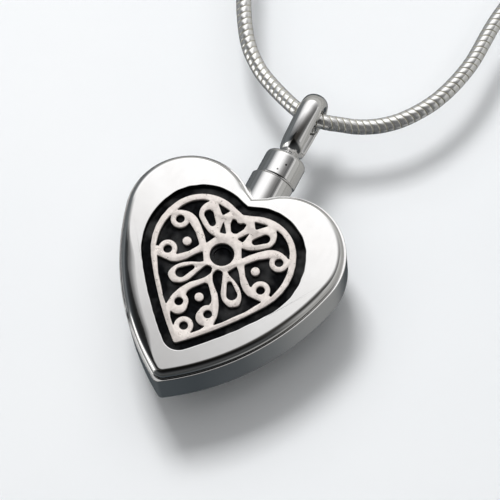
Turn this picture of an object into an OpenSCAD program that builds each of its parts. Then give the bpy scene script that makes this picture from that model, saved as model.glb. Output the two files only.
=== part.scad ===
// Keepsake urn pendant on a snake chain, lying on its back.
// X runs across the heart, Y from its tip to the bail and Z out of its face.
// X = Y = 0 is the centre of the filigree's hub and Z = 0 is the flat back.

/* [Heart case] */
// Width of the front slab
face_w = 23.1; // [21:0.1:26]
// Radius of the front slab's lobes
lobe_r = 6.25; // [5.6:0.05:6.6]
// Height of the lobes' centres above the hub
lobe_y = 2.8; // [2:0.1:4]
// Depth of the front slab's drawn tip below the hub, before it is rounded
tip_y = 14.45; // [13.5:0.05:17]
// Radius that rounds the front slab's tip
tip_r = 1.2; // [0.8:0.1:1.6]
// Thickness of the whole case
case_t = 6; // [5.8:0.1:8]
// Thickness of the front slab
slab_t = 1; // [0.9:0.05:1.4]
// Rounding of the front slab's edge
slab_round = 0.7; // [0.3:0.05:0.8]
// How far the back part stands out past the front slab
ledge_w = 0.25; // [0.15:0.05:0.5]
// Radius that rounds the back part's tip
back_tip_r = 0.3; // [0.2:0.05:0.8]
// Rounding of the back part's lower edge
back_round = 0.3; // [0.1:0.05:0.6]
// Rounding of the ledge's outer edge
ledge_round = 0.1; // [0.05:0.01:0.12]

/* [Chamber] */
// Wall round the chamber, measured from the front slab's outline
side_wall = 1.5; // [1.2:0.1:2]
// Floor under the chamber
floor_wall = 0.8; // [0.6:0.1:1]
// Metal between the chamber and the recess
roof_wall = 0.8; // [0.5:0.1:1]
// Radius that rounds the chamber's tip
chamber_tip_r = 2.5; // [1.8:0.1:4]

/* [Filigree inlay] */
// Width of the raised filigree
inlay_w = 15; // [13.5:0.1:15.6]
// Height of the filigree's lobe centres above the hub
inlay_lobe_y = 1.1; // [0.8:0.1:1.6]
// Radius of the filigree's lobes at the top
inlay_lobe_r = 4.4; // [4.2:0.05:4.6]
// Radius of the filigree's sides
inlay_side_r = 6.1; // [5.9:0.05:6.4]
// Depth of the filigree's tip below the hub
inlay_tip_y = 10.5; // [10:0.1:11]
// Width of the dark channel round the filigree
channel_w = 0.93; // [0.6:0.01:1]
// Radius that rounds the recess's tip, before the channel is added
recess_tip_r = 0.7; // [0.5:0.05:1.5]
// Depth of the recess in the front slab
recess_d = 1.1; // [1:0.05:1.3]
// Height of the relief above the dark ground
relief_h = 0.5; // [0.3:0.05:0.6]
// How far the relief stays below the slab's face
relief_drop = 0.05; // [0:0.01:0.2]
// Gap between the inlay and the recess
inlay_gap = 0.05; // [0.02:0.01:0.08]

/* [Filigree pattern] */
// Radius of the hub's hole
hub_r = 1.25; // [1:0.05:1.35]
// Radius of the deeper pit in the hub
hub_pit_r = 0.93; // [0.6:0.01:0.95]
// Depth of that pit below the dark ground
hub_pit_d = 0.25; // [0.1:0.05:0.4]
// Radius of each eyelet's hole
eyelet_r = 0.45; // [0.3:0.01:0.5]
// Width of the ring round each eyelet
eyelet_ring = 0.52; // [0.4:0.01:0.6]
// Radius of the raised dots
dot_r = 0.45; // [0.3:0.01:0.5]

/* [Collar and cap] */
// How far the neck stands to the right of the heart's middle
neck_x = 0.4; // [0:0.05:0.5]
// Radius of the collar
collar_r = 2.3; // [2.2:0.05:2.45]
// How far the collar's own middle lies to the left of the neck's axis
collar_off = 0.2; // [0:0.05:0.25]
// Length of the collar above the cleft
collar_len = 3.65; // [3.2:0.05:5]
// Radius of the cap
cap_r = 2.2; // [1.9:0.05:2.3]
// Height of the cap
cap_h = 3.1; // [2.6:0.05:4]
// Rounding of the cap's shoulder
cap_round = 0.6; // [0.2:0.05:0.7]
// Gap in the seam between collar and cap
seam_gap = 0.05; // [0.02:0.01:0.1]
// Radius of the threaded post
post_r = 1.2; // [1:0.05:1.4]
// Length of the post below the seam
post_len = 4; // [3:0.1:5]
// Clearance round the post
post_clear = 0.05; // [0.02:0.01:0.1]
// Pitch of the thread
thread_pitch = 0.5; // [0.4:0.05:0.7]
// Depth of the thread
thread_d = 0.15; // [0.08:0.01:0.2]

/* [Bail] */
// Height of the bail above the cap
bail_h = 7.6; // [7:0.1:10]
// Depth of the bail from front to back
bail_d = 4.7; // [4.5:0.1:4.9]
// Width of the bail's strand
bail_w = 2.4; // [1.8:0.1:2.8]
// Thickness of the bail's strand
strand_t = 1.2; // [1:0.05:1.3]
// How much of that thickness is the strand's domed outer side
strand_dome = 0.85; // [0.5:0.05:0.95]
// Length of the bail's sides between its round ends
side_len = 3.6; // [3:0.1:4.2]
// Angle at which each side has bowed in by its lower end
lean = 10; // [6:0.5:12]
// Radius of the foot under the bail
foot_r = 1.3; // [1.2:0.05:1.5]
// Height of that foot
foot_h = 0.3; // [0.2:0.05:0.5]

/* [Chain] */
// Diameter of the snake chain
chain_d = 1.6; // [1.2:0.1:1.7]
// Distance between the chain and the top of the bail's hole
chain_clear = 0.5; // [0.2:0.05:0.6]
// Length of the clasp
clasp_len = 12; // [8:0.5:16]
// Diameter of the clasp
clasp_d = 2.4; // [2:0.1:3]
// Rounding of the clasp's ends
clasp_round = 0.4; // [0.2:0.05:0.6]
// Gap between the clasp and the chain's ends
clasp_gap = 0.05; // [0.02:0.01:0.2]

/* [Hidden] */
$fn = 48;

// Angles of the front slab's outline on its arcs: where the lobe starts at the cleft and where the flank starts.
face_cleft_from = 130;
face_flank_from = -14;
// Slope of the short straight from the lobe to the cleft.
face_cleft_slope = 30;
// The same angles of the filigree, and the one where its lobe passes into its side.
inlay_cleft_from = 115.6;
inlay_side_from = 28;
inlay_flank_from = -34;
inlay_cleft_slope = 17.7;

// A heart's columns: half width, lobe centre's height, lobe radius, side radius, tip depth, then four angles:
// start at the cleft, end of the lobe, end of the side, slope of the cleft.
face_heart = [face_w / 2, lobe_y, lobe_r, lobe_r, tip_y, face_cleft_from, 10, face_flank_from, face_cleft_slope];
inlay_heart = [
  inlay_w / 2, inlay_lobe_y, inlay_lobe_r, inlay_side_r, inlay_tip_y,
  inlay_cleft_from, inlay_side_from, inlay_flank_from, inlay_cleft_slope
];

function dir(a) = [cos(a), sin(a)];
function unit(v) = v / norm(v);
function arc(c, r, a, b, n, first = 0) = [for (i = [first:n]) c + r * dir(a + (b - a) * i / n)];
function mirrored(p) = [for (i = [len(p) - 1:-1:0]) [-p[i][0], p[i][1]]];

// Right half of a heart's outline, grown by g, with its tip rounded to radius t, from the cleft down to the tip.
function half_heart(h, g, t) =
  let (
    side = [h[0] - h[3], h[1] + (h[2] - h[3]) * sin(h[6])],
    lobe = side + (h[3] - h[2]) * dir(h[6]),
    start = side + h[3] * dir(h[7]),
    reach = start - [0, -h[4]],
    flank_r = reach * reach / (2 * reach * dir(h[7])),
    flank = start - flank_r * dir(h[7]),
    tip = flank[1] - sqrt(pow(flank_r - t, 2) - pow(flank[0], 2)),
    tip_from = atan2(tip - flank[1], -flank[0]),
    join = lobe + (h[2] + g) * dir(h[5]),
    cleft = join[1] - join[0] * tan(h[8])
  )
  concat(
    [[0, cleft]],
    arc(lobe, h[2] + g, h[5], h[6], 12),
    arc(side, h[3] + g, h[6], h[7], 6, 1),
    arc(flank, flank_r + g, h[7], tip_from, 9, 1),
    arc([0, tip], t + g, tip_from, -90, 4, 1)
  );
function heart(h, g, t) =
  let (right = half_heart(h, g, t), left = mirrored(right))
  concat(right, [for (i = [1:len(left) - 2]) left[i]]);
function cleft_y(h, g) = half_heart(h, g, 1)[0][1];

// Heights of the case and of what lies in it.
slab_z = case_t - slab_t;
recess_z = case_t - recess_d;
chamber_top = recess_z - roof_wall;
relief_top = case_t - relief_drop;
ground_z = relief_top - relief_h;
plate_z = recess_z + inlay_gap;
inlay_edge = channel_w - inlay_gap;

// The neck's axis runs along Y at this height.
neck_z = slab_z / 2;
seam_y = cleft_y(face_heart, 0) + collar_len;
cap_top = seam_y + cap_h;
bore_r = post_r + post_clear;
bore_end = cleft_y(face_heart, -side_wall) - bore_r;

// The bail is a long oval. From the base of the strand's dome it has a round top, two sides that bow in a little,
// and a round foot.
eye_r = bail_d / 2 - strand_dome;
eye_y = cap_top + bail_h - bail_d / 2;
bow_r = side_len / sin(lean);
eye_foot_r = (eye_r - bow_r * (1 - cos(lean))) / cos(lean);
eye_foot_y = eye_y - side_len + eye_foot_r * sin(lean);

// Where the chain crosses the bail.
seat_y = cap_top + bail_h - strand_t - chain_clear - chain_d / 2;

// A closed solid through rings of equal length.
module loft(rings) {
  n = len(rings[0]);
  m = len(rings);
  walls = [
    for (k = [0:m - 2], i = [0:n - 1])
      [k * n + i, k * n + (i + 1) % n, (k + 1) * n + (i + 1) % n, (k + 1) * n + i]
  ];
  polyhedron(
    points = [for (r = rings, p = r) p],
    faces = concat([[for (i = [0:n - 1]) (n - i) % n]], [for (w = walls) [w[0], w[1], w[2]]],
      [for (w = walls) [w[0], w[2], w[3]]], [[for (i = [0:n - 1]) (m - 1) * n + i]])
  );
}

function level(h, g, t, z) = [for (p = heart(h, g, t)) [p[0], p[1], z]];

// Outer form of the case: rounded lower edge, wall, ledge, and the slab with its quarter-round edge.
module case_form() {
  steps = 4;
  rings = concat(
    [
      for (i = [0:2])
        level(face_heart, ledge_w - back_round * (1 - sin(45 * i)), back_tip_r, back_round * (1 - cos(45 * i)))
    ],
    [level(face_heart, ledge_w, back_tip_r, slab_z - ledge_round)],
    [level(face_heart, ledge_w - ledge_round, back_tip_r, slab_z)],
    [level(face_heart, 0, tip_r, slab_z)],
    [
      for (i = [0:steps])
        let (a = 90 * i / steps)
          level(face_heart, slab_round * (cos(a) - 1), tip_r, case_t - slab_round * (1 - sin(a)))
    ]
  );
  loft(rings);
}

module along_neck(y) {
  translate([neck_x, y, neck_z]) rotate([-90, 0, 0]) children();
}

module heart_case() {
  color("gainsboro") difference() {
    union() {
      case_form();
      along_neck(bore_end) translate([-collar_off, 0]) cylinder(h = seam_y - bore_end, r = collar_r);
    }
    translate([0, 0, floor_wall]) linear_extrude(chamber_top - floor_wall)
      polygon(heart(face_heart, -side_wall, chamber_tip_r));
    translate([0, 0, recess_z]) linear_extrude(recess_d + 1)
      polygon(heart(inlay_heart, channel_w, recess_tip_r));
    along_neck(bore_end) cylinder(h = seam_y - bore_end + 1, r = bore_r);
  }
}

// A place in the filigree, from its shares of the half width and of the heights above and below the hub.
inlay_top_y = inlay_lobe_y + inlay_lobe_r;
function place(x, y) = [x * inlay_w / 2, y * (y > 0 ? inlay_top_y : inlay_tip_y)];

// One rounded corner at v, between p and n.
function corner(p, v, n, r) =
  let (
    a = unit(p - v), b = unit(n - v), half = acos(max(-1, min(1, a * b))) / 2,
    t = min(r / tan(half), 0.48 * norm(p - v), 0.48 * norm(n - v)),
    c = v + unit(a + b) * t / cos(half),
    s = v + a * t - c, e = v + b * t - c,
    from = atan2(s[1], s[0]), turn = atan2(s[0] * e[1] - s[1] * e[0], s * e)
  )
  half > 88 ? [v] : [for (i = [0:3]) c + norm(s) * dir(from + turn * i / 3)];

// A window's rows: share of the half width, share of the height, corner radius as a share of the half width.
function window(rows) =
  let (p = [for (w = rows) place(w[0], w[1])], n = len(rows))
  [for (i = [0:n - 1]) each corner(p[(i + n - 1) % n], p[i], p[(i + 1) % n], rows[i][2] * inlay_w / 2)];
function both_sides(rows) = concat(rows, [for (i = [len(rows) - 1:-1:0]) [-rows[i][0], rows[i][1], rows[i][2]]]);

// A drop's columns: centre and radius of its wide end, then of its narrow end, as shares like a window's.
function drop(d) =
  let (
    a = place(d[0], d[1]), b = place(d[3], d[4]), r = d[2] * inlay_w / 2, s = d[5] * inlay_w / 2,
    axis = atan2(a[1] - b[1], a[0] - b[0]), open = acos((r - s) / norm(a - b))
  )
  concat(arc(a, r, axis - 180 + open, axis + 180 - open, 12), arc(b, s, axis + 180 - open, axis + 180 + open, 6));

heart_window = [
  [0.02, 0.690, 0.01], [0.055, 0.728, 0.015], [0.108, 0.722, 0.02], [0.100, 0.610, 0.03], [0.045, 0.480, 0.03],
  [0.01, 0.460, 0.01]
];
narrow_window = [[0.200, 0.605, 0.008], [0.078, 0.392, 0.016], [0.173, 0.368, 0.016], [0.187, 0.44, 0.04]];
rim_window = [[0.178, 0.838, 0.016], [0.395, 0.885, 0.012], [0.248, 0.690, 0.020]];
upper_petal = [0.427, 0.615, 0.066, 0.323, 0.481, 0.048];
lower_petal = [0.384, -0.331, 0.075, 0.283, -0.238, 0.037];
crescent_window = [
  [0.193, 0.268, 0.010], [0.267, 0.075, 0.012], [0.331, 0.190, 0.10], [0.430, 0.325, 0.3], [0.555, 0.470, 0.3],
  [0.700, 0.512, 0.3], [0.855, 0.425, 0.012], [0.817, 0.550, 0.2], [0.772, 0.642, 0.3], [0.712, 0.734, 0.3],
  [0.604, 0.826, 0.2], [0.487, 0.872, 0.012], [0.540, 0.780, 0.1], [0.573, 0.642, 0.15], [0.540, 0.505, 0.1],
  [0.405, 0.365, 0.2], [0.300, 0.285, 0.2]
];
side_window = [
  [0.333, -0.002, 0.04], [0.469, 0.190, 0.1], [0.600, 0.308, 0.012], [0.740, 0.330, 0.02], [0.893, 0.285, 0.012],
  [0.915, 0.150, 0.3], [0.919, -0.02, 0.5], [0.902, -0.095, 0.3], [0.868, -0.190, 0.010], [0.700, -0.150, 0.02],
  [0.548, -0.182, 0.014], [0.425, -0.105, 0.1]
];
lower_window = [
  [0.178, -0.137, 0.012], [0.255, -0.045, 0.016], [0.325, -0.098, 0.2], [0.415, -0.190, 0.2], [0.490, -0.240, 0.1],
  [0.575, -0.270, 0.1], [0.790, -0.270, 0.012], [0.735, -0.333, 0.3], [0.657, -0.429, 0.3], [0.545, -0.524, 0.3],
  [0.445, -0.619, 0.2], [0.352, -0.685, 0.010], [0.342, -0.570, 0.2], [0.293, -0.476, 0.3], [0.210, -0.383, 0.2],
  [0.125, -0.330, 0.2], [0.055, -0.277, 0.2], [0.012, -0.215, 0.05], [0.030, -0.155, 0.04], [0.125, -0.150, 0.05],
  [0.180, -0.250, 0.3], [0.245, -0.375, 0.2], [0.320, -0.425, 0.15], [0.430, -0.455, 0.08], [0.545, -0.400, 0.07],
  [0.520, -0.310, 0.2], [0.437, -0.237, 0.3], [0.325, -0.190, 0.2], [0.220, -0.160, 0.1]
];
bottom_window = [
  [0.025, -0.325, 0.03], [0.098, -0.385, 0.3], [0.150, -0.430, 0.2], [0.186, -0.480, 0.07], [0.165, -0.540, 0.05],
  [0.120, -0.640, 0.1], [0.125, -0.715, 0.02], [0.262, -0.722, 0.014], [0.225, -0.775, 0.2], [0.135, -0.842, 0.012],
  [0.05, -0.80, 0.05]
];

// Eyelets beside the axis and on it, and the dots, as shares; the last column is 1 where the mirror image is there too.
eyelets = [[0.745, 0.302, 1], [0.699, -0.170, 1], [0.217, -0.603, 1], [0, -0.804, 0]];
dots = [[0.515, -0.018, 1], [0, -0.481, 0]];
// The blob below each lower eyelet: centre and radius as shares.
blob = [0.200, -0.640, 0.123];

module pair() {
  children();
  mirror([1, 0]) children();
}

module each_place(rows) {
  for (w = rows, s = w[2] == 1 ? [1, -1] : [1]) translate(place(s * w[0], w[1])) children();
}

module windows() {
  polygon(window(both_sides(heart_window)));
  pair() {
    polygon(window(narrow_window));
    polygon(window(rim_window));
    polygon(drop(upper_petal));
    polygon(drop(lower_petal));
    polygon(window(crescent_window));
    polygon(window(side_window));
    polygon(window(lower_window));
  }
  polygon(window(both_sides(bottom_window)));
}

module relief() {
  difference() {
    union() {
      difference() {
        polygon(heart(inlay_heart, 0, 0.3));
        windows();
      }
      each_place(eyelets) circle(eyelet_r + eyelet_ring);
      pair() translate(place(blob[0], blob[1])) circle(blob[2] * inlay_w / 2);
      each_place(dots) circle(dot_r);
    }
    circle(hub_r);
    each_place(eyelets) circle(eyelet_r);
  }
}

module filigree_inlay() {
  color("silver") union() {
    difference() {
      translate([0, 0, plate_z]) linear_extrude(ground_z - plate_z)
        polygon(heart(inlay_heart, inlay_edge, recess_tip_r));
      translate([0, 0, ground_z - hub_pit_d]) cylinder(h = hub_pit_d + 1, r = hub_pit_r);
    }
    translate([0, 0, ground_z - 0.1]) linear_extrude(relief_top - ground_z + 0.1) relief();
  }
}

// Outline of cap and post, as radius and height along the neck: shoulder, seam face, grooved thread, chamfered end.
module cap_profile() {
  threads = floor((post_len - 2 * thread_pitch) / thread_pitch);
  start = seam_y - thread_pitch;
  polygon(concat(
    [[0, cap_top], [cap_r - cap_round, cap_top]],
    [for (i = [1:5]) [cap_r - cap_round, cap_top - cap_round] + cap_round * dir(90 - 18 * i)],
    [[cap_r, seam_y + seam_gap], [post_r, seam_y + seam_gap]],
    [
      for (i = [0:threads - 1], s = [[0, 0], [thread_d, 0.5]])
        [post_r - s[0], start - (i + s[1]) * thread_pitch]
    ],
    [
      [post_r, start - threads * thread_pitch], [post_r, seam_y - post_len + thread_d],
      [post_r - thread_d, seam_y - post_len], [0, seam_y - post_len]
    ]
  ));
}

// The bail's strand runs round its hole. Each station has a place and an outward direction in the Y-Z plane.
function stations(y, z, r, from, to, n) = [
  for (i = [1:n], a = from + (to - from) * i / n) [y + r * cos(a), z + r * sin(a), a]
];
bail_stations = concat(
  stations(eye_y, 0, eye_r, 90, -90, 14),
  stations(eye_y, bow_r - eye_r, bow_r, -90, -90 - lean, 4),
  stations(eye_foot_y, 0, eye_foot_r, -90 - lean, lean - 270, 10),
  stations(eye_y, eye_r - bow_r, bow_r, 90 + lean, 90, 4)
);

// Cross-section of the strand, across the bail and outwards: half an ellipse outside, a flatter one inside.
strand_section = [
  for (i = [0:15], a = 22.5 * i)
    [bail_w / 2 * cos(a), (i < 8 ? strand_dome : strand_t - strand_dome) * sin(a)]
];

module bail() {
  n = len(strand_section);
  m = len(bail_stations);
  quads = [
    for (k = [0:m - 1], i = [0:n - 1])
      [k * n + i, k * n + (i + 1) % n, ((k + 1) % m) * n + (i + 1) % n, ((k + 1) % m) * n + i]
  ];
  polyhedron(
    points = [
      for (s = bail_stations, q = strand_section)
        [neck_x + q[0], s[0] + q[1] * cos(s[2]), neck_z + s[1] + q[1] * sin(s[2])]
    ],
    faces = concat([for (q = quads) [q[0], q[1], q[2]]], [for (q = quads) [q[0], q[2], q[3]]])
  );
}

module bail_cap() {
  color("lightgray") union() {
    along_neck(0) rotate_extrude() cap_profile();
    along_neck(cap_top - 0.1) cylinder(h = foot_h + 0.1, r = foot_r);
    bail();
  }
}

// Route of the chain, from one side of the clasp through the bail to the other: X, height above the bail's
// crossing, Z.
chain_route = [
  [6, 184, 0.8], [17, 182.5, 0.8], [27.5, 178, 0.8], [36.5, 171.5, 0.8], [43.5, 162.5, 0.8], [48, 152, 0.8],
  [50.5, 141, 0.8], [51.5, 129.5, 0.8], [51, 118, 0.8], [49, 106.5, 0.8], [46, 95, 0.8], [42, 84, 0.8],
  [37, 73.5, 0.8], [31.5, 63, 0.8], [26, 52.5, 0.8], [21, 43, 0.8], [17, 33.5, 0.8], [14, 25.5, 0.8],
  [12.8, 19.1, 0.8], [12.5, 13.1, 0.8], [11.3, 8.5, 0.8], [9.4, 5.2, 0.8], [7.4, 3.1, 0.9], [5.3, 1.7, 1.2],
  [3.5, 0.9, 1.7], [2, 0.25, 2.2], [0.4, 0, 2.4], [-1.2, 0.3, 2.2], [-3.1, 1.1, 1.7], [-5.1, 2.1, 1.1],
  [-7.2, 3.3, 0.8], [-9.4, 5.2, 0.8], [-11.2, 7.7, 0.8], [-12.8, 10.6, 0.8], [-15, 15, 0.8], [-18, 21.5, 0.8],
  [-22, 30, 0.8], [-26.5, 39.5, 0.8], [-31.5, 49.5, 0.8], [-36.5, 60.5, 0.8], [-41, 72.5, 0.8],
  [-45, 84.5, 0.8], [-48.5, 97, 0.8], [-50.5, 109.5, 0.8], [-51.5, 122, 0.8], [-51, 134.5, 0.8],
  [-49, 146.5, 0.8], [-45, 158, 0.8], [-39, 168, 0.8], [-30.5, 176, 0.8], [-19, 182, 0.8], [-6, 184, 0.8]
];

// The route's ends keep to the clasp's length and its Z to the chain's radius where it lies on the surface.
lay_z = 0.8;
chain_points = [
  for (i = [0:len(chain_route) - 1], p = [chain_route[i]])
    [
      i == 0 || i == len(chain_route) - 1 ? sign(p[0]) * (clasp_len / 2 + clasp_gap) : p[0],
      seat_y + p[1],
      chain_d / 2 + (p[2] - lay_z) / (chain_route[26][2] - lay_z) * (neck_z - 0.1 - chain_d / 2)
    ]
];

// A smooth curve through four points, from the second to the third.
function blend(p, t) =
  0.5 * (2 * p[1] + (p[2] - p[0]) * t + (2 * p[0] - 5 * p[1] + 4 * p[2] - p[3]) * t * t
    + (3 * p[1] - 3 * p[2] + p[3] - p[0]) * t * t * t);
function smooth_path(p, gap) = [
  for (i = [0:len(p) - 2])
    let (
      q = [p[max(i - 1, 0)], p[i], p[i + 1], p[min(i + 2, len(p) - 1)]],
      n = ceil(norm(q[2] - q[1]) / gap)
    )
    each [for (k = [0:n - 1]) blend(q, k / n)],
  p[len(p) - 1]
];

// A round tube along a path, as one closed mesh.
module tube(path, r, sides) {
  last = len(path) - 1;
  loft([
    for (i = [0:last])
      let (
        t = unit(path[min(i + 1, last)] - path[max(i - 1, 0)]),
        s = unit(cross(t, [0, 0, 1])), u = cross(s, t)
      )
      [for (k = [0:sides - 1]) path[i] + r * (cos(360 * k / sides) * s + sin(360 * k / sides) * u)]
  ]);
}

module chain() {
  color("whitesmoke") tube(smooth_path(chain_points, 7), chain_d / 2, 8);
}

module clasp() {
  end = clasp_len / 2;
  r = clasp_d / 2;
  color("silver") translate([0, seat_y + chain_route[0][1], r]) rotate([0, 90, 0]) rotate_extrude()
    polygon(concat(
      [[0, -end]],
      [for (i = [0:4]) [r - clasp_round, clasp_round - end] + clasp_round * dir(22.5 * i - 90)],
      [for (i = [0:4]) [r - clasp_round, end - clasp_round] + clasp_round * dir(22.5 * i)],
      [[0, end]]
    ));
}

heart_case();
filigree_inlay();
bail_cap();
chain();
clasp();
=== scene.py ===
import math

import bmesh
import bpy
from mathutils import Matrix, Vector, noise


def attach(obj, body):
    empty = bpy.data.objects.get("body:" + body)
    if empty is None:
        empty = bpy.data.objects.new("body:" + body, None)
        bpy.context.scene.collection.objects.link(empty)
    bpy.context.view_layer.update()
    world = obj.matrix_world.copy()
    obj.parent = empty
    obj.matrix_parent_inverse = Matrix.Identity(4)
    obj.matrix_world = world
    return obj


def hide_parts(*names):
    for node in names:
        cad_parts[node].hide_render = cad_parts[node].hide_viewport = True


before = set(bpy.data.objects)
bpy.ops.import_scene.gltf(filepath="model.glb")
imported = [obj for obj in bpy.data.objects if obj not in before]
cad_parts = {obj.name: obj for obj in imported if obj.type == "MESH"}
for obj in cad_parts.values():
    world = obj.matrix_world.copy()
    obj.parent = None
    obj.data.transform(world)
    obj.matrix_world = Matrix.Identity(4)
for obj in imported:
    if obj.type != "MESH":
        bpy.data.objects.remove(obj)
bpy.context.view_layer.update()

MM = 0.001
# Points of a mesh that lie closer than this become one.
MERGE = 0.002

# Sizes of the case, in millimetres. X and Y start at the hub of the filigree and Z at the flat back.
CASE_T = 6.0
SLAB_Z = 5.0
SLAB_ROUND = 0.7
BACK_ROUND = 0.3
FACE_TIP_R = 1.2
BACK_TIP_R = 0.3
RECESS_Z = 4.9
RECESS_ROUND = 0.06
CHANNEL_W = 0.93
RECESS_TIP_R = 0.7

# The softer edge along the left flank: its rounding, the wide curve above it, and the tilt where they meet.
SOFT_ROUND = 0.6
SOFT_CURVE = 3.5
SOFT_TILT = 17.0
# The soft form comes in between these distances to the left of the hub and below it.
SOFT_LEFT = (0.8, 3.5)
SOFT_BELOW = (1, 5)

# The ledge, and how far its rim drops along the left flank.
LEDGE_W = 0.25
LEDGE_ROUND = 0.04
LEDGE_FILLET = 0.02
LEDGE_DROP = 0.2
# The drop comes in between these distances to the left of the hub, and fades out between these below it.
DROP_LEFT = (2, 5)
DROP_BELOW = (11, 8)

# How far past a rounding its holding ring lies. It keeps the flat beside the rounding flat in its shading.
HOLD = 0.03

# How far the recess's hand-finished edge wanders, and how closely its waves follow each other.
WEAR = 0.05
WEAR_WAVES = 1.3

# Heights in the inlay, and the rounding of its relief.
GROUND_Z = 5.45
RELIEF_Z = 5.95
RELIEF_ROUND = 0.09

# The neck's axis runs along Y at this place.
NECK_X = 0.4
NECK_Z = 2.5
COLLAR_R = 2.3
COLLAR_OFF = 0.2
COLLAR_ROUND = 0.1
BORE_R = 1.25
BORE_END = 3.9
BORE_CHAMFER = 0.06
SEAM_Y = 10.497
CAP_R = 2.2
CAP_TOP = SEAM_Y + 3.1
CAP_ROUND = 0.6
CAP_FOOT_ROUND = 0.25
SEAM_GAP = 0.05
POST_R = 1.2
POST_LEN = 4.0
THREAD_PITCH = 0.5
THREAD_D = 0.15

# The bail. Its strand's dome gets more ridged towards the foot.
BAIL_TOP = CAP_TOP + 7.6
BAIL_W = 2.4
BAIL_D = 4.7
STRAND_T = 1.2
STRAND_DOME = 0.85
STRAND_RIDGE = 0.35
SIDE_LEN = 3.6
EYE_Y = BAIL_TOP - BAIL_D / 2
LEAN = 10.0
FOOT_R = 1.3
FOOT_H = 0.3
FOOT_CHAMFER = 0.1
FOOT_SINK = 0.1

# The chain and its clasp.
CHAIN_R = 0.8
CHAIN_CLEAR = 0.5
SEAT_Y = BAIL_TOP - STRAND_T - CHAIN_CLEAR - CHAIN_R
BAND_PITCH = 0.72
BAND_SIDES = 22
# Slant and curl of the bands' edges, as lengths along the chain.
BAND_SLANT = 0.22
BAND_CURL = 0.05
# Each band's profile: place along its pitch and drop below the chain's radius.
BAND_PROFILE = [(-0.48, 0.04), (-0.445, 0.01), (-0.39, 0.0), (0.39, 0.0), (0.445, 0.01), (0.48, 0.04)]
CLASP_LEN = 12.0
CLASP_R = 1.2
CLASP_ROUND = 0.4
CLASP_GAP = 0.05

# Route of the chain: X, distance along Y from the place where it crosses the bail, Z.
CHAIN_ROUTE = [
    (6, 184, 0.8), (17, 182.5, 0.8), (27.5, 178, 0.8), (36.5, 171.5, 0.8), (43.5, 162.5, 0.8),
    (48, 152, 0.8), (50.5, 141, 0.8), (51.5, 129.5, 0.8), (51, 118, 0.8), (49, 106.5, 0.8), (46, 95, 0.8),
    (42, 84, 0.8), (37, 73.5, 0.8), (31.5, 63, 0.8), (26, 52.5, 0.8), (21, 43, 0.8), (17, 33.5, 0.8),
    (14, 25.5, 0.8), (12.8, 19.1, 0.8), (12.5, 13.1, 0.8), (11.3, 8.5, 0.8), (9.4, 5.2, 0.8),
    (7.4, 3.1, 0.9), (5.3, 1.7, 1.2), (3.5, 0.9, 1.7), (2, 0.25, 2.2), (0.4, 0, 2.4), (-1.2, 0.3, 2.2),
    (-3.1, 1.1, 1.7), (-5.1, 2.1, 1.1), (-7.2, 3.3, 0.8), (-9.4, 5.2, 0.8), (-11.2, 7.7, 0.8),
    (-12.8, 10.6, 0.8), (-15, 15, 0.8), (-18, 21.5, 0.8), (-22, 30, 0.8), (-26.5, 39.5, 0.8),
    (-31.5, 49.5, 0.8), (-36.5, 60.5, 0.8), (-41, 72.5, 0.8), (-45, 84.5, 0.8), (-48.5, 97, 0.8),
    (-50.5, 109.5, 0.8), (-51.5, 122, 0.8), (-51, 134.5, 0.8), (-49, 146.5, 0.8), (-45, 158, 0.8),
    (-39, 168, 0.8), (-30.5, 176, 0.8), (-19, 182, 0.8), (-6, 184, 0.8),
]


# Outlines.

class Heart:
    """A heart's outline from arcs: two lobes, two sides, two flanks and a rounded tip."""

    def __init__(self, half_width, lobe_y, lobe_r, side_r, tip_depth,
                 cleft_from, lobe_end, flank_from, cleft_slope):
        self.cleft_from, self.lobe_end, self.flank_from = cleft_from, lobe_end, flank_from
        self.lobe_r, self.side_r, self.cleft_slope = lobe_r, side_r, cleft_slope
        self.side = Vector((half_width - side_r, lobe_y + (lobe_r - side_r) * direction(lobe_end).y))
        self.lobe = self.side + (side_r - lobe_r) * direction(lobe_end)
        start = self.side + side_r * direction(flank_from)
        reach = start - Vector((0, -tip_depth))
        self.flank_r = reach.dot(reach) / (2 * reach.dot(direction(flank_from)))
        self.flank = start - self.flank_r * direction(flank_from)

    def ring(self, grow, tip_r, z):
        """The outline grown by a distance, at a height, as points in metres that start at the cleft."""
        tip = self.flank.y - math.sqrt((self.flank_r - tip_r) ** 2 - self.flank.x ** 2)
        tip_from = math.degrees(math.atan2(tip - self.flank.y, -self.flank.x))
        join = self.lobe + (self.lobe_r + grow) * direction(self.cleft_from)
        right = [Vector((0, join.y - join.x * math.tan(math.radians(self.cleft_slope))))]
        right += arc(self.lobe, self.lobe_r + grow, self.cleft_from, self.lobe_end, 44)
        right += arc(self.side, self.side_r + grow, self.lobe_end, self.flank_from, 20)[1:]
        right += arc(self.flank, self.flank_r + grow, self.flank_from, tip_from, 30)[1:]
        right += arc(Vector((0, tip)), tip_r + grow, tip_from, -90, 12)[1:]
        left = [Vector((-p.x, p.y)) for p in right[-2:0:-1]]
        return [Vector((p.x, p.y, z)) * MM for p in right + left]


def direction(degrees):
    """The unit vector at an angle from the first axis."""
    return Vector((math.cos(math.radians(degrees)), math.sin(math.radians(degrees))))


def arc(centre, radius, start, end, steps):
    """Points round a centre, from one angle to another."""
    return [centre + radius * direction(start + (end - start) * i / steps) for i in range(steps + 1)]


def corner(across, up, radius, start, end, steps=6):
    """A rounded corner of a profile: the pairs on an arc round (across, up)."""
    return [tuple(p) for p in arc(Vector((across, up)), radius, start, end, steps)]


def eased(value, start, end):
    """Passes smoothly from 0 to 1 while a value goes from start to end."""
    t = min(max((value - start) / (end - start), 0), 1)
    return t * t * (3 - 2 * t)


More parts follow.
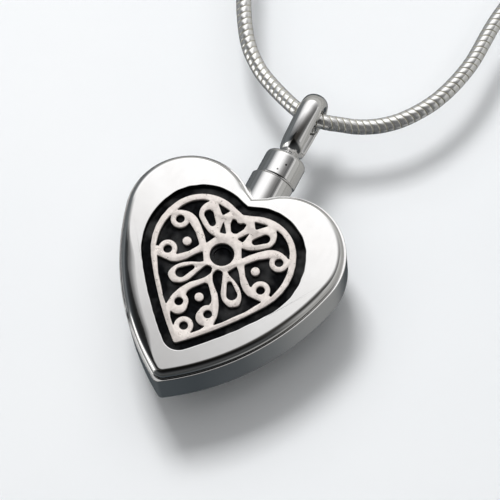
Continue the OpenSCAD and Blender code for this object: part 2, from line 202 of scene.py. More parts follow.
FACE_HEART = Heart(
    half_width=11.55, lobe_y=2.8, lobe_r=6.25, side_r=6.25, tip_depth=14.45,
    cleft_from=130, lobe_end=10, flank_from=-14, cleft_slope=30,
)
INLAY_HEART = Heart(
    half_width=7.5, lobe_y=1.1, lobe_r=4.4, side_r=6.1, tip_depth=10.5,
    cleft_from=115.6, lobe_end=28, flank_from=-34, cleft_slope=17.7,
)


# Mesh helpers.

def skin(bm, rings, material=0):
    """Extrudes a closed loop through rings of equal length and returns the last loop's vertices."""
    loop = [bm.verts.new(p) for p in rings[0]]
    edges = [bm.edges.new((v, loop[(i + 1) % len(loop)])) for i, v in enumerate(loop)]
    for ring in rings[1:]:
        made = bmesh.ops.extrude_edge_only(bm, edges=edges)["geom"]
        fresh = {g for g in made if isinstance(g, bmesh.types.BMVert)}
        edges = [g for g in made if isinstance(g, bmesh.types.BMEdge)]
        for g in made:
            if isinstance(g, bmesh.types.BMFace):
                g.material_index = material
        loop = [next(e.other_vert(v) for e in v.link_edges if e.other_vert(v) in fresh) for v in loop]
        for v, p in zip(loop, ring):
            v.co = p
    return loop


def lathe(bm, profile, matrix, steps=72):
    """Spins a profile of (radius, height) round its axis and lays that axis along the matrix's Z."""
    verts = [bm.verts.new((r * MM, 0, h * MM)) for r, h in profile]
    edges = [bm.edges.new(pair) for pair in zip(verts, verts[1:])]
    made = bmesh.ops.spin(
        bm, geom=verts + edges, cent=(0, 0, 0), axis=(0, 0, 1), angle=math.tau, steps=steps, use_merge=True,
    )
    whole = set(verts) | {g for g in made["geom_last"] if isinstance(g, bmesh.types.BMVert)}
    for v in list(whole):
        whole |= set(linked(v))
    bmesh.ops.transform(bm, matrix=matrix, verts=list(whole))


def linked(start):
    """All the vertices that edges join to a vertex."""
    seen, queue = {start}, [start]
    while queue:
        for e in queue.pop().link_edges:
            for v in e.verts:
                if v not in seen:
                    seen.add(v)
                    queue.append(v)
    return seen


def finished(name, bm, materials):
    """Makes an object of a mesh, in the scene."""
    mesh = bpy.data.meshes.new(name)
    bm.to_mesh(mesh)
    bm.free()
    for m in materials:
        mesh.materials.append(m)
    obj = bpy.data.objects.new(name, mesh)
    bpy.context.scene.collection.objects.link(obj)
    return obj


def piece(name, bm, materials, body, slot, *nodes, sharp=35):
    """Closes a mesh, shades it smooth up to an angle, and hangs it on its body in place of its nodes."""
    bmesh.ops.remove_doubles(bm, verts=bm.verts, dist=MERGE * MM)
    bmesh.ops.recalc_face_normals(bm, faces=bm.faces)
    for f in bm.faces:
        f.smooth = True
    for e in bm.edges:
        e.smooth = e.is_manifold and e.calc_face_angle(0) < math.radians(sharp)
    obj = finished(name, bm, materials)
    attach(obj, body)
    if nodes:
        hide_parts(*nodes)
    return obj


def along_neck():
    """Turns an upright lathe onto the neck's axis."""
    return Matrix.Translation((NECK_X * MM, 0, NECK_Z * MM)) @ Matrix.Rotation(-math.pi / 2, 4, "X")


# Materials.

# The sockets of a mix node's two colours and of its colour result.
COLOUR_A, COLOUR_B, COLOUR_OUT = 6, 7, 2


def new_material(name):
    mat = bpy.data.materials.new(name)
    mat.use_nodes = True
    nodes, links = mat.node_tree.nodes, mat.node_tree.links
    return mat, nodes, links, nodes["Principled BSDF"]


def object_noise(nodes, links, scale, detail=3.0, stretch=(1, 1, 1)):
    """Noise in object space; the scale is in marks per metre."""
    coord = nodes.new("ShaderNodeTexCoord")
    mapping = nodes.new("ShaderNodeMapping")
    mapping.inputs["Scale"].default_value = stretch
    tex = nodes.new("ShaderNodeTexNoise")
    tex.inputs["Scale"].default_value = scale
    tex.inputs["Detail"].default_value = detail
    links.new(coord.outputs["Object"], mapping.inputs["Vector"])
    links.new(mapping.outputs["Vector"], tex.inputs["Vector"])
    return tex.outputs["Fac"]


def ramp(nodes, links, source, stops):
    """A colour ramp whose stops are (place, colour)."""
    node = nodes.new("ShaderNodeValToRGB")
    while len(node.color_ramp.elements) < len(stops):
        node.color_ramp.elements.new(0.5)
    for element, (place, colour) in zip(node.color_ramp.elements, stops):
        element.position = place
        element.color = (*colour, 1)
    links.new(source, node.inputs["Fac"])
    return node.outputs["Color"]


def feed(links, value, socket):
    """Links a value to a socket, or sets it there where it is a constant."""
    if isinstance(value, bpy.types.NodeSocket):
        links.new(value, socket)
    else:
        socket.default_value = value


def multiplied(nodes, links, a, b):
    """The product of two values."""
    node = nodes.new("ShaderNodeMath")
    node.operation = "MULTIPLY"
    feed(links, a, node.inputs[0])
    feed(links, b, node.inputs[1])
    return node.outputs[0]


def mixed(nodes, links, factor, a, b):
    """Passes from one colour to another as the factor goes from 0 to 1."""
    node = nodes.new("ShaderNodeMix")
    node.data_type = "RGBA"
    links.new(factor, node.inputs["Factor"])
    feed(links, a, node.inputs[COLOUR_A])
    feed(links, b, node.inputs[COLOUR_B])
    return node.outputs[COLOUR_OUT]


def bump(nodes, links, source, strength, distance, bsdf):
    """Roughens a surface by a pattern; the distance is in metres."""
    node = nodes.new("ShaderNodeBump")
    node.inputs["Strength"].default_value = strength
    node.inputs["Distance"].default_value = distance
    links.new(source, node.inputs["Height"])
    links.new(node.outputs["Normal"], bsdf.inputs["Normal"])


def grey(v):
    return (v, v, v)


def polished_silver(name, pores):
    """Mirror-polished silver with faint haze and hairline wear, and with pores where it was cast."""
    mat, nodes, links, bsdf = new_material(name)
    bsdf.inputs["Metallic"].default_value = 1.0
    haze = object_noise(nodes, links, 260, 4)
    tone = ramp(nodes, links, haze, [(0.35, (0.91, 0.90, 0.895)), (0.7, (0.955, 0.95, 0.95))])
    if pores:
        tone = pitted(nodes, links, tone)
    links.new(tone, bsdf.inputs["Base Color"])
    hairs = object_noise(nodes, links, 2600, 5, (1, 0.25, 1))
    links.new(ramp(nodes, links, hairs, [(0.3, grey(0.05)), (0.75, grey(0.10))]), bsdf.inputs["Roughness"])
    bump(nodes, links, object_noise(nodes, links, 420, 2), 0.06, 0.00004, bsdf)
    return mat


def pitted(nodes, links, tone):
    """Darkens a tone at small pores that lie in patches."""
    coord = nodes.new("ShaderNodeTexCoord")
    cells = nodes.new("ShaderNodeTexVoronoi")
    cells.inputs["Scale"].default_value = 1300
    links.new(coord.outputs["Object"], cells.inputs["Vector"])
    pore = ramp(nodes, links, cells.outputs["Distance"], [(0.10, grey(1)), (0.17, grey(0))])
    patch = ramp(nodes, links, object_noise(nodes, links, 330, 1), [(0.55, grey(0)), (0.60, grey(1))])
    return mixed(nodes, links, multiplied(nodes, links, pore, patch), tone, (0.05, 0.045, 0.04, 1))


def chain_silver():
    """Polished chain metal, a little warmer and softer than the case."""
    mat, nodes, links, bsdf = new_material("chain_silver")
    bsdf.inputs["Metallic"].default_value = 0.84
    haze = object_noise(nodes, links, 900, 3)
    tone = ramp(nodes, links, haze, [(0.3, (0.93, 0.925, 0.91)), (0.7, (0.97, 0.965, 0.955))])
    links.new(tone, bsdf.inputs["Base Color"])
    links.new(ramp(nodes, links, haze, [(0.3, grey(0.06)), (0.8, grey(0.12))]), bsdf.inputs["Roughness"])
    return mat


def chain_groove_shade():
    """Olive-brown painted shade between the chain's bands, for the shade in the crevices between its links.
    """
    mat, nodes, links, bsdf = new_material("chain_groove_shade")
    bsdf.inputs["Metallic"].default_value = 0.4
    marks = object_noise(nodes, links, 1500, 3)
    tone = ramp(nodes, links, marks, [(0.3, (0.26, 0.24, 0.16)), (0.7, (0.46, 0.43, 0.31))])
    links.new(tone, bsdf.inputs["Base Color"])
    bsdf.inputs["Roughness"].default_value = 0.5
    return mat


def oxide_black():
    """The blackened walls of the recess."""
    mat, nodes, links, bsdf = new_material("oxide_black")
    marks = object_noise(nodes, links, 1800, 4)
    tone = ramp(nodes, links, marks, [(0.3, grey(0.002)), (0.75, (0.007, 0.007, 0.008))])
    links.new(tone, bsdf.inputs["Base Color"])
    links.new(ramp(nodes, links, marks, [(0.3, grey(0.28)), (0.8, grey(0.45))]), bsdf.inputs["Roughness"])
    bsdf.inputs["Specular IOR Level"].default_value = 0.10
    bump(nodes, links, marks, 0.3, 0.00005, bsdf)
    return mat


# The black of the ground reaches this far up the relief, and the bright top this far down.
BLACK_FOOT = 0.12
BRIGHT_TOP = 0.10


def inlay_metal():
    """Satin silver on top of the relief that passes into glossy black at its foot."""
    mat, nodes, links, bsdf = new_material("inlay_metal")
    coord = nodes.new("ShaderNodeTexCoord")
    split = nodes.new("ShaderNodeSeparateXYZ")
    links.new(coord.outputs["Object"], split.inputs[0])
    height = nodes.new("ShaderNodeMapRange")
    height.inputs["From Min"].default_value = (GROUND_Z + BLACK_FOOT) * MM
    height.inputs["From Max"].default_value = (RELIEF_Z - BRIGHT_TOP) * MM
    links.new(split.outputs["Z"], height.inputs["Value"])
    grain = object_noise(nodes, links, 2400, 5)
    satin = ramp(nodes, links, grain, [(0.3, (0.66, 0.605, 0.57)), (0.7, (0.84, 0.78, 0.74))])
    black = ramp(nodes, links, grain, [(0.3, grey(0.002)), (0.75, (0.007, 0.0075, 0.009))])
    links.new(mixed(nodes, links, height.outputs["Result"], black, satin), bsdf.inputs["Base Color"])
    links.new(multiplied(nodes, links, height.outputs["Result"], 0.5), bsdf.inputs["Metallic"])
    links.new(ramp(nodes, links, grain, [(0.3, grey(0.26)), (0.75, grey(0.40))]), bsdf.inputs["Roughness"])
    sheen = ramp(nodes, links, object_noise(nodes, links, 420, 2), [(0.46, grey(0)), (0.66, grey(0.5))])
    links.new(sheen, bsdf.inputs["Specular IOR Level"])
    bump(nodes, links, grain, 0.12, 0.00003, bsdf)
    return mat


SILVER = polished_silver("polished_silver", pores=False)
CAST_SILVER = polished_silver("cast_silver", pores=True)
BLACK = oxide_black()
INLAY = inlay_metal()
CHAIN_SILVER = chain_silver()
CHAIN_GROOVE_SHADE = chain_groove_shade()


# Heart case.

def worn_edge(ring):
    """Moves a ring's points a little in and out, as a hand-finished edge wanders."""
    worn = []
    for p in ring:
        q = Vector((p.x, p.y, 0)) / MM
        worn.append(p + q.normalized() * WEAR * noise.noise(q * WEAR_WAVES) * MM)
    return worn


def slab_edge(radius, tilt):
    """Profile of the slab's edge, as (grow, height), from its side over the rounding to the face."""
    foot = CASE_T - SOFT_CURVE + (SOFT_CURVE - radius) * direction(tilt).x
    start = -radius + (radius - SOFT_CURVE) * direction(tilt).y
    profile = [(0, foot - HOLD)]
    profile += corner(-radius, foot, radius, 0, 90 - tilt, 12)
    profile += corner(start, CASE_T - SOFT_CURVE, SOFT_CURVE, 90 - tilt, 90)[1:]
    profile.append((start - HOLD, CASE_T))
    return profile


def softness(p):
    """How far the slab's edge at a point has the soft form: fully along the left flank, not at the tip."""
    return eased(-p.x / MM, *SOFT_LEFT) * eased(-p.y / MM, *SOFT_BELOW)


def slope(p):
    """How far the ledge at a point slopes away: fully along the left flank, not near the tip."""
    return eased(-p.x / MM, *DROP_LEFT) * eased(-p.y / MM, *DROP_BELOW)


def case_rings():
    """Outside of the case, from the flat back up to the edge of the face."""
    back = corner(LEDGE_W - BACK_ROUND, BACK_ROUND, BACK_ROUND, -90, 0)
    back += [(LEDGE_W, BACK_ROUND + HOLD), (LEDGE_W, SLAB_Z - LEDGE_ROUND - HOLD)]
    rings = [FACE_HEART.ring(grow, BACK_TIP_R, z) for grow, z in back]
    rim = corner(LEDGE_W - LEDGE_ROUND, SLAB_Z - LEDGE_ROUND, LEDGE_ROUND, 0, 90, 3)
    rim.append((LEDGE_W - LEDGE_ROUND - LEDGE_FILLET, SLAB_Z))
    for grow, z in rim:
        ring = FACE_HEART.ring(grow, BACK_TIP_R, z)
        rings.append([p - Vector((0, 0, LEDGE_DROP * MM * slope(p))) for p in ring])
    foot = [(2 * LEDGE_FILLET, SLAB_Z), (LEDGE_FILLET, SLAB_Z)]
    foot += [(0, SLAB_Z + LEDGE_FILLET), (0, SLAB_Z + 2 * LEDGE_FILLET)]
    rings += [FACE_HEART.ring(grow, FACE_TIP_R, z) for grow, z in foot]
    for crisp, soft in zip(slab_edge(SLAB_ROUND, 0), slab_edge(SOFT_ROUND, SOFT_TILT)):
        crisp_ring = FACE_HEART.ring(crisp[0], FACE_TIP_R, crisp[1])
        soft_ring = FACE_HEART.ring(soft[0], FACE_TIP_R, soft[1])
        rings.append([p.lerp(q, softness(p)) for p, q in zip(crisp_ring, soft_ring)])
    return rings


def recess_rings():
    """Edge and wall of the recess: three rings round the edge, then two down the wall."""
    profile = [
        (RECESS_ROUND + HOLD, CASE_T), (RECESS_ROUND, CASE_T), (RECESS_ROUND / 3, CASE_T - RECESS_ROUND / 3),
        (0, CASE_T - RECESS_ROUND), (0, RECESS_Z),
    ]
    return [worn_edge(INLAY_HEART.ring(CHANNEL_W + grow, RECESS_TIP_R, z)) for grow, z in profile]


def heart_case():
    """The polished case with its blackened recess, and the collar set into the cleft."""
    bm = bmesh.new()
    outside = case_rings()
    edge = recess_rings()
    skin(bm, outside + edge[:3])
    floor = bm.faces.new(skin(bm, edge[2:], material=1))
    floor.material_index = 1
    bottom = [e for e in bm.edges if max(v.co.z for v in e.verts) < MERGE * MM]
    bmesh.ops.contextual_create(bm, geom=bottom)
    collar = [(BORE_R, BORE_END), (BORE_R, SEAM_Y - BORE_CHAMFER), (BORE_R + BORE_CHAMFER, SEAM_Y)]
    collar += [(COLLAR_R - COLLAR_ROUND - HOLD, SEAM_Y)]
    collar += corner(COLLAR_R - COLLAR_ROUND, SEAM_Y - COLLAR_ROUND, COLLAR_ROUND, 90, 0)
    collar += [(COLLAR_R, SEAM_Y - COLLAR_ROUND - HOLD), (COLLAR_R, BORE_END), (BORE_R, BORE_END)]
    lathe(bm, collar, Matrix.Translation((-COLLAR_OFF * MM, 0, 0)) @ along_neck())
    return piece("case_polished", bm, [SILVER, BLACK], "heart", "polished_silver", "heart_case")


# Filigree inlay.

# In degrees: faces that bend less than the first are one flat, and an edge that bends more than the second
# is a rim.
FLAT_BEND = 0.5
RIM_BEND = 60


def filigree_inlay():
    """The cast inlay, with the edges of its relief worn round."""
    bm = bmesh.new()
    bm.from_mesh(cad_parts["filigree_inlay"].data)
    bmesh.ops.remove_doubles(bm, verts=bm.verts, dist=MERGE * MM)
    bmesh.ops.dissolve_limit(bm, angle_limit=math.radians(FLAT_BEND), verts=bm.verts, edges=bm.edges)
    top = (RELIEF_Z - MERGE) * MM
    bend = math.radians(RIM_BEND)
    rim = [
        e for e in bm.edges
        if min(v.co.z for v in e.verts) > top and e.is_manifold and e.calc_face_angle(0) > bend
    ]
    bmesh.ops.bevel(
        bm, geom=rim, offset=RELIEF_ROUND * MM, offset_type="OFFSET", affect="EDGES", segments=3, profile=0.5,
        material=-1, clamp_overlap=True,
    )
    return piece("filigree_worn", bm, [INLAY], "heart", "oxidised_silver", "filigree_inlay", sharp=40)


# Bail cap.

def cap_profile():
    """Profile of the cap and of the grooved post under it, as (radius, place along the neck)."""
    profile = [(0, CAP_TOP), (CAP_R - CAP_ROUND - HOLD, CAP_TOP)]
    profile += corner(CAP_R - CAP_ROUND, CAP_TOP - CAP_ROUND, CAP_ROUND, 90, 0, 10)
    foot = SEAM_Y + SEAM_GAP + CAP_FOOT_ROUND
    profile += [(CAP_R, CAP_TOP - CAP_ROUND - HOLD), (CAP_R, foot + HOLD)]
    profile += corner(CAP_R - CAP_FOOT_ROUND, foot, CAP_FOOT_ROUND, 0, -90, 8)
    profile += [(POST_R, SEAM_Y + SEAM_GAP)]
    start = SEAM_Y - THREAD_PITCH
    for i in range(int((POST_LEN - 2 * THREAD_PITCH) / THREAD_PITCH)):
        profile += [(POST_R, start - i * THREAD_PITCH), (POST_R - THREAD_D, start - (i + 0.5) * THREAD_PITCH)]
    end = SEAM_Y - POST_LEN
    profile += [(POST_R, end + THREAD_D), (POST_R - THREAD_D, end), (0, end)]
    return profile


def bail_stations():
    """Places round the bail's oval: Y, Z from the neck's axis, and the angle that the dome faces."""
    eye_r = BAIL_TOP - STRAND_DOME - EYE_Y
    lean = math.radians(LEAN)
    bow_r = SIDE_LEN / math.sin(lean)
    foot_r = (eye_r - bow_r * (1 - math.cos(lean))) / math.cos(lean)
    foot_y = EYE_Y - SIDE_LEN + foot_r * math.sin(lean)
    arcs = [
        (EYE_Y, 0, eye_r, 90, -90, 40), (EYE_Y, bow_r - eye_r, bow_r, -90, -90 - LEAN, 10),
        (foot_y, 0, foot_r, -90 - LEAN, LEAN - 270, 28), (EYE_Y, eye_r - bow_r, bow_r, 90 + LEAN, 90, 10),
    ]
    return [
        (y + r * direction(a).x, z + r * direction(a).y, a)
        for y, z, r, start, end, n in arcs for a in (start + (end - start) * i / n for i in range(1, n + 1))
    ]


def strand_ring(station, sides=40):
    """The strand's cross-section: domed outside, nearly flat inside, and more ridged towards the foot."""
    y, z, a = station
    out = direction(a)
    ridge = 1 + STRAND_RIDGE * min(max((EYE_Y - y) / SIDE_LEN, 0), 1)
    ring = []
    for i in range(sides):
        c, s = direction(360 * i / sides)
        power = ridge if s > 0 else 1
        across = BAIL_W / 2 * math.copysign(abs(c) ** power, c)
        rise = (STRAND_DOME if s > 0 else STRAND_T - STRAND_DOME) * math.copysign(abs(s) ** power, s)
        ring.append(Vector((NECK_X + across, y + rise * out.x, NECK_Z + z + rise * out.y)) * MM)
    return ring


def bail_cap():
    """The cap with its post, the bail's foot on top, and the bail's strand as a closed oval."""
    bm = bmesh.new()
    lathe(bm, cap_profile(), along_neck())
    low, high = CAP_TOP - FOOT_SINK, CAP_TOP + FOOT_H
    foot = [(0, low), (FOOT_R, low), (FOOT_R, high - FOOT_CHAMFER), (FOOT_R - FOOT_CHAMFER, high), (0, high)]
    lathe(bm, foot, along_neck())
    rings = [strand_ring(s) for s in bail_stations()]
    skin(bm, rings + rings[:1])
    return piece("bail_cap_polished", bm, [CAST_SILVER], "necklace", "polished_silver", "bail_cap", sharp=50)


# Chain.

# Steps of the smooth route between two of its points.
ROUTE_STEPS = 12


def chain_points():
    """The route's points, with its two ends moved up to the clasp."""
    points = [Vector((x, SEAT_Y + y, z)) for x, y, z in CHAIN_ROUTE]
    for p in (points[0], points[-1]):
        p.x = math.copysign(CLASP_LEN / 2 + CLASP_GAP, p.x)
    return points


def smooth_path(points, steps):
    """A smooth curve through the route's points, with its length so far at each step."""
    path = []
    for i in range(len(points) - 1):
        p = [points[max(i - 1, 0)], points[i], points[i + 1], points[min(i + 2, len(points) - 1)]]
        for k in range(steps):
            t = k / steps
            path.append(0.5 * (
                2 * p[1] + (p[2] - p[0]) * t + (2 * p[0] - 5 * p[1] + 4 * p[2] - p[3]) * t * t
                + (3 * p[1] - 3 * p[2] + p[3] - p[0]) * t * t * t))
    path.append(points[-1])
    run = [0.0]
    for a, b in zip(path, path[1:]):
        run.append(run[-1] + (b - a).length)
    return path, run


class Route:
    """Finds places, and the frame there, by length along a path."""

    def __init__(self, path, run):
        self.path, self.run, self.near = path, run, 0
        self.length = run[-1]

    def at(self, s):
        """The place and the heading at a length along the path."""
        i = self.near
        while i < len(self.run) - 2 and self.run[i + 1] < s:
            i += 1
        while i > 0 and self.run[i] > s:
            i -= 1
        self.near = i
        t = (s - self.run[i]) / (self.run[i + 1] - self.run[i])
        heading = self.heading(i).lerp(self.heading(i + 1), t)
        return self.path[i].lerp(self.path[i + 1], t), heading.normalized()

    def heading(self, i):
        last = len(self.path) - 1
        return (self.path[min(i + 1, last)] - self.path[max(i - 1, 0)]).normalized()


def chain_ring(route, s, r):
    """A slanted ring round the chain at a length along it."""
    ring = []
    for k in range(BAND_SIDES):
        turn = -360 * k / BAND_SIDES
        out = direction(turn)
        shift = BAND_SLANT * out.x + BAND_CURL * direction(2 * turn).y
        place, along = route.at(min(max(s + shift, 0), route.length))
        side = along.cross(Vector((0, 0, 1))).normalized()
        ring.append((place + (side * out.x + side.cross(along) * out.y) * r) * MM)
    return ring


def chain_bands():
    """The snake chain: slanted bands with a groove of painted shade between each two, rolled up from a flat
    grid.
    """
    route = Route(*smooth_path(chain_points(), ROUTE_STEPS))
    count = round(route.length / BAND_PITCH)
    pitch = route.length / count
    rings = []
    for i in range(count):
        for place, drop in BAND_PROFILE:
            rings.append(chain_ring(route, (i + 0.5 + place) * pitch, CHAIN_R - drop))
    bm = bmesh.new()
    rows = len(rings) - 1
    bmesh.ops.create_grid(bm, x_segments=BAND_SIDES, y_segments=rows, size=0.5)
    # The faces at each band's edges take the groove's painted shade.
    for f in bm.faces:
        low = min(v.co.y for v in f.verts)
        step = round((low + 0.5) * rows) % len(BAND_PROFILE)
        f.material_index = 0 if 1 <= step < len(BAND_PROFILE) - 2 else 1
    for v in bm.verts:
        v.co = rings[round((v.co.y + 0.5) * rows)][round((v.co.x + 0.5) * BAND_SIDES) % BAND_SIDES]
    bmesh.ops.remove_doubles(bm, verts=bm.verts, dist=MERGE * MM)
    bmesh.ops.holes_fill(bm, edges=[e for e in bm.edges if e.is_boundary], sides=0)
    finishes = [CHAIN_SILVER, CHAIN_GROOVE_SHADE]
    return piece("chain_bands", bm, finishes, "necklace", "chain_silver", "chain", sharp=70)


def clasp():
    """The barrel between the chain's two ends."""
    end = CLASP_LEN / 2
    profile = [(0, -end)]
    profile += corner(CLASP_R - CLASP_ROUND, CLASP_ROUND - end, CLASP_ROUND, -90, 0)
    profile += corner(CLASP_R - CLASP_ROUND, end - CLASP_ROUND, CLASP_ROUND, 0, 90)
    profile.append((0, end))
    bm = bmesh.new()
    place = Matrix.Translation(Vector((0, SEAT_Y + CHAIN_ROUTE[0][1], CLASP_R)) * MM)
    lathe(bm, profile, place @ Matrix.Rotation(math.pi / 2, 4, "Y"))
    return piece("clasp_barrel", bm, [CHAIN_SILVER], "necklace", "chain_silver", "clasp")


heart_case()
filigree_inlay()
bail_cap()
chain_bands()
clasp()


# Stage, light and camera.

# The stage's sizes in metres: half the floor's width, its middle along Y, and how deep its two sheets lie.
FLOOR_HALF = 1.2
FLOOR_Y = 0.06
BOARD_DEPTH = 0.006
GLASS_DEPTH = 0.00002


def floor_sheet(name, depth, material):
    bm = bmesh.new()
    bmesh.ops.create_grid(bm, x_segments=1, y_segments=1, size=FLOOR_HALF)
    bmesh.ops.translate(bm, vec=(0, FLOOR_Y, -depth), verts=bm.verts)
    obj = finished(name, bm, [material])
    return obj


def white_board():
    """A matt, slightly cool white board."""
    mat, nodes, links, bsdf = new_material("white_board")
    cloud = object_noise(nodes, links, 25, 2)
    tone = ramp(nodes, links, cloud, [(0.3, (0.86, 0.88, 0.90)), (0.7, (0.89, 0.905, 0.92))])
    links.new(tone, bsdf.inputs["Base Color"])
    bsdf.inputs["Roughness"].default_value = 0.9
    bsdf.inputs["Specular IOR Level"].default_value = 0.1
    return mat


def clear_sheet():
    """Glass over the board, as a thin film: clear, with a faint gloss."""
    mat, nodes, links, bsdf = new_material("clear_sheet")
    nodes.remove(bsdf)
    clear = nodes.new("ShaderNodeBsdfTransparent")
    gloss = nodes.new("ShaderNodeBsdfGlossy")
    gloss.inputs["Roughness"].default_value = 0.12
    fresnel = nodes.new("ShaderNodeFresnel")
    fresnel.inputs["IOR"].default_value = 1.3
    mix = nodes.new("ShaderNodeMixShader")
    links.new(fresnel.outputs[0], mix.inputs[0])
    links.new(clear.outputs[0], mix.inputs[1])
    links.new(gloss.outputs[0], mix.inputs[2])
    links.new(mix.outputs[0], nodes["Material Output"].inputs["Surface"])
    return mat


def softbox(name, place, target, width, depth, radiance, colour=(1, 1, 1), glossy=True):
    """An area light of a given brightness, turned to a target."""
    light = bpy.data.lights.new(name, "AREA")
    light.shape = "RECTANGLE"
    light.size, light.size_y = width, depth
    light.energy = radiance * math.pi * width * depth
    light.color = colour
    obj = bpy.data.objects.new(name, light)
    obj.location = place
    if target:
        obj.rotation_mode = "QUATERNION"
        obj.rotation_quaternion = (Vector(target) - Vector(place)).to_track_quat("-Z", "Y")
    obj.visible_glossy = glossy
    bpy.context.scene.collection.objects.link(obj)
    return light


def feathered(light, across, along):
    """Fades a light over its width and its depth, each by stops of (place, strength)."""
    light.use_nodes = True
    nodes, links = light.node_tree.nodes, light.node_tree.links
    shape = nodes.new("ShaderNodeNewGeometry")
    split = nodes.new("ShaderNodeSeparateXYZ")
    links.new(shape.outputs["Parametric"], split.inputs[0])
    fades = [
        ramp(nodes, links, split.outputs[axis], [(place, grey(v)) for place, v in stops])
        for axis, stops in (("X", across), ("Y", along))
    ]
    links.new(multiplied(nodes, links, *fades), nodes["Emission"].inputs["Strength"])


# The walls' colour by height, where 0 is straight down, 0.5 is level and 1 is straight up.
WALL_HEIGHTS = [
    (0.20, (0.33, 0.325, 0.305)), (0.45, (0.38, 0.38, 0.365)), (0.60, (0.44, 0.44, 0.425)),
    (0.72, (0.40, 0.40, 0.39)), (0.81, (0.20, 0.20, 0.20)), (0.88, (0.10, 0.10, 0.098)),
    (0.92, (0.045, 0.043, 0.04)), (1.0, (0.035, 0.033, 0.03)),
]
# What that is multiplied by: degrees round from +X, brightness and coolness.
WALL_TURNS = [
    (-180, 0.35, 0.08), (-162, 0.35, 0.08), (-157, 1.6, 0), (-140, 1.8, 0), (-130, 0.2, 0.04),
    (-62, 0.14, 0.04), (-21, 0.14, 0.04), (-8, 1.0, 0), (20, 1.0, 0), (90, 1.1, 0),
    (115, 1.1, 0), (130, 0.9, 0), (150, 0.4, 0.06), (180, 0.35, 0.08),
]
# The table's colour by X + Y / 2 of the direction, which is never more than TABLE_REACH either way.
TABLE_REACH = 1.12
# Its dark middle is painted shadow: the jewel's shadow on the table, as the case's sides and roundings mirror
# it.
TABLE = [
    (-0.95, (0.16, 0.165, 0.17)), (-0.80, (0.13, 0.137, 0.144)), (-0.66, (0.10, 0.107, 0.114)),
    (-0.4, (0.08, 0.09, 0.097)), (0.1, (0.048, 0.056, 0.062)), (0.25, (0.075, 0.083, 0.088)),
    (0.33, (0.13, 0.138, 0.142)), (0.43, (0.28, 0.285, 0.28)), (0.60, (0.33, 0.33, 0.32)),
]
# The table passes into the walls between these heights.
TABLE_EDGE = (0.25, 0.35)


def world_light():
    """A dim studio: grey walls that differ from side to side, a dark ceiling, and the table, with the jewel's
    shadow painted on it.
    """
    world = bpy.data.worlds.new("studio")
    bpy.context.scene.world = world
    world.use_nodes = True
    nodes, links = world.node_tree.nodes, world.node_tree.links
    coord = nodes.new("ShaderNodeTexCoord")
    split = nodes.new("ShaderNodeSeparateXYZ")
    links.new(coord.outputs["Generated"], split.inputs[0])

    def scaled(source, reach):
        """A value between -reach and reach, brought to the range 0 to 1."""
        node = nodes.new("ShaderNodeMapRange")
        node.inputs["From Min"].default_value = -reach
        node.inputs["From Max"].default_value = reach
        links.new(source, node.inputs["Value"])
        return node.outputs["Result"]

    height = scaled(split.outputs["Z"], 1)
    turn = nodes.new("ShaderNodeMath")
    turn.operation = "ARCTAN2"
    links.new(split.outputs["Y"], turn.inputs[0])
    links.new(split.outputs["X"], turn.inputs[1])
    aside = nodes.new("ShaderNodeMath")
    aside.operation = "MULTIPLY_ADD"
    aside.inputs[1].default_value = 0.5
    links.new(split.outputs["Y"], aside.inputs[0])
    links.new(split.outputs["X"], aside.inputs[2])
    by_height = ramp(nodes, links, height, WALL_HEIGHTS)
    by_turn = ramp(nodes, links, scaled(turn.outputs[0], math.pi), [
        ((degrees + 180) / 360, (v * (1 - cool), v, v * (1 + cool))) for degrees, v, cool in WALL_TURNS
    ])
    walls = nodes.new("ShaderNodeVectorMath")
    walls.operation = "MULTIPLY"
    links.new(by_height, walls.inputs[0])
    links.new(by_turn, walls.inputs[1])
    table = ramp(nodes, links, scaled(aside.outputs[0], TABLE_REACH), [
        ((w / TABLE_REACH + 1) / 2, colour) for w, colour in TABLE
    ])
    edge = ramp(nodes, links, height, [(TABLE_EDGE[0], grey(0)), (TABLE_EDGE[1], grey(1))])
    links.new(mixed(nodes, links, edge, table, walls.outputs[0]), nodes["Background"].inputs["Color"])


# The camera's angles: azimuth from -Y towards +X, tilt from the face's normal, and roll, in degrees.
CAM_AZIMUTH, CAM_TILT, CAM_ROLL = 35.4, 22.3, 9.2
CAM_DISTANCE = 300.0
# Where the hub lies from the middle of the picture, in millimetres right and up.
CAM_ASIDE, CAM_UP = 2.824, 0.422
# What the picture's width covers at the face, in millimetres.
CAM_SPAN = 50.25


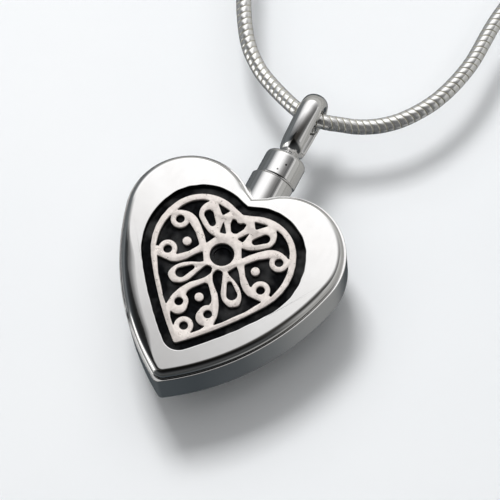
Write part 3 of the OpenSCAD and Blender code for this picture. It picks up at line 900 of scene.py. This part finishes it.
def camera():
    """Looks down at the jewel from in front and to the right, turned as the photograph is."""
    back = Vector((0, 0, 1))
    back.rotate(Matrix.Rotation(math.radians(CAM_TILT), 3, "X"))
    back.rotate(Matrix.Rotation(math.radians(CAM_AZIMUTH), 3, "Z"))
    level_right = Vector((0, 0, 1)).cross(back).normalized()
    level_up = back.cross(level_right)
    roll = direction(CAM_ROLL)
    right = level_right * roll.x - level_up * roll.y
    up = level_right * roll.y + level_up * roll.x
    data = bpy.data.cameras.new("photo_view")
    data.lens = data.sensor_width * CAM_DISTANCE / CAM_SPAN
    data.clip_start, data.clip_end = 0.01, 20
    cam = bpy.data.objects.new("photo_view", data)
    place = Vector((0, 0, CASE_T)) + CAM_ASIDE * right + CAM_UP * up + CAM_DISTANCE * back
    cam.matrix_world = Matrix.Translation(place * MM) @ Matrix((right, up, back)).transposed().to_4x4()
    bpy.context.scene.collection.objects.link(cam)
    bpy.context.scene.camera = cam


# The board's own reflection would hide the world's table and its painted shadow, so mirrors don't see it.
floor_sheet("white_board", BOARD_DEPTH, white_board()).visible_glossy = False
floor_sheet("clear_sheet", GLASS_DEPTH, clear_sheet())

# The wide light above fades to its sides and to its near edge, which shades the face towards its tip.
overhead = softbox("overhead", (-0.375, 0.705, 0.6), None, 1.65, 1.29, 1.08)
feathered(
    overhead,
    across=[
        (0.0, 0.12), (0.18, 0.32), (0.30, 0.60), (0.445, 0.92), (0.545, 1.0), (0.66, 1.0), (0.73, 0.78),
        (0.81, 0.38), (0.89, 0.18), (1.0, 0.05),
    ],
    along=[
        (0.0, 0.08), (0.031, 0.18), (0.062, 0.40), (0.077, 0.47), (0.101, 0.76), (0.120, 1.0), (0.73, 1.0),
        (1.0, 0.8),
    ],
)
# The fill and the key light the floor and cast the shadow, and mirrors don't see them.
softbox("left_card", (-0.63, -0.365, 0.17), (0, 0, 0.17), 0.25, 0.30, 0.75)
softbox("fill", (-0.1, 0.0, 0.9), None, 1.3, 1.3, 0.90, glossy=False)
softbox("key", (-0.20, 0.22, 0.66), (0, 0, 0), 0.20, 0.20, 24, glossy=False)
softbox("right_card", (0.60, 0.32, 0.42), (0, 0.32, 0.42), 0.60, 0.18, 0.28, (1, 0.99, 0.97))
world_light()
camera()
bpy.context.scene.view_settings.view_transform = "Standard"
